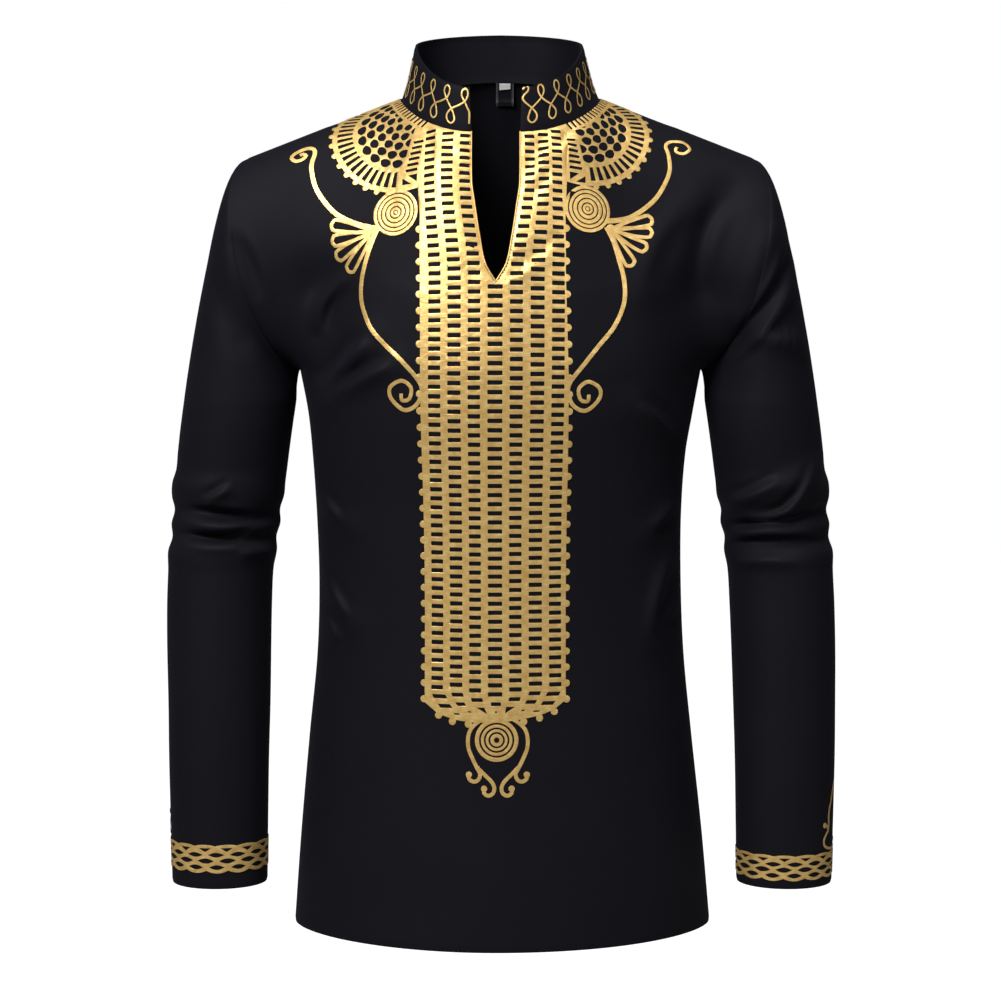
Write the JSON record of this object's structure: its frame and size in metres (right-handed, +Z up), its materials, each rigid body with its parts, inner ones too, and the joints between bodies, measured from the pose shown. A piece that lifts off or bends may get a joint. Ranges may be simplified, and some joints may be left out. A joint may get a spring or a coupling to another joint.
{
  "type": "dashiki shirt",
  "caption": "Long-sleeved dashiki shirt in black cloth, hollow as worn, with a stand collar, slit neck and gold ornament.",
  "frame": {"origin": "midway between the shoulders at the level of the neck base, where the wearer's shoulders hold the shirt", "axes": "+Z up, -Y the shirt's front, +X towards the viewer's right as seen from the front"},
  "size_m": [0.5929, 0.231, 0.7943],
  "materials": {
    "cloth": "smooth black cotton blend with a soft sheen",
    "label_satin": "dark woven satin",
    "white_tape": "white woven tape",
    "gold_foil": "gold foil print on cloth"
  },
  "bodies": {
    "root": {"front": "cloth", "back": "cloth", "sleeve_left": "cloth", "sleeve_right": "cloth", "collar": "cloth", "neck_label": "label_satin", "size_tab": "white_tape"}
  },
  "joints": []
}
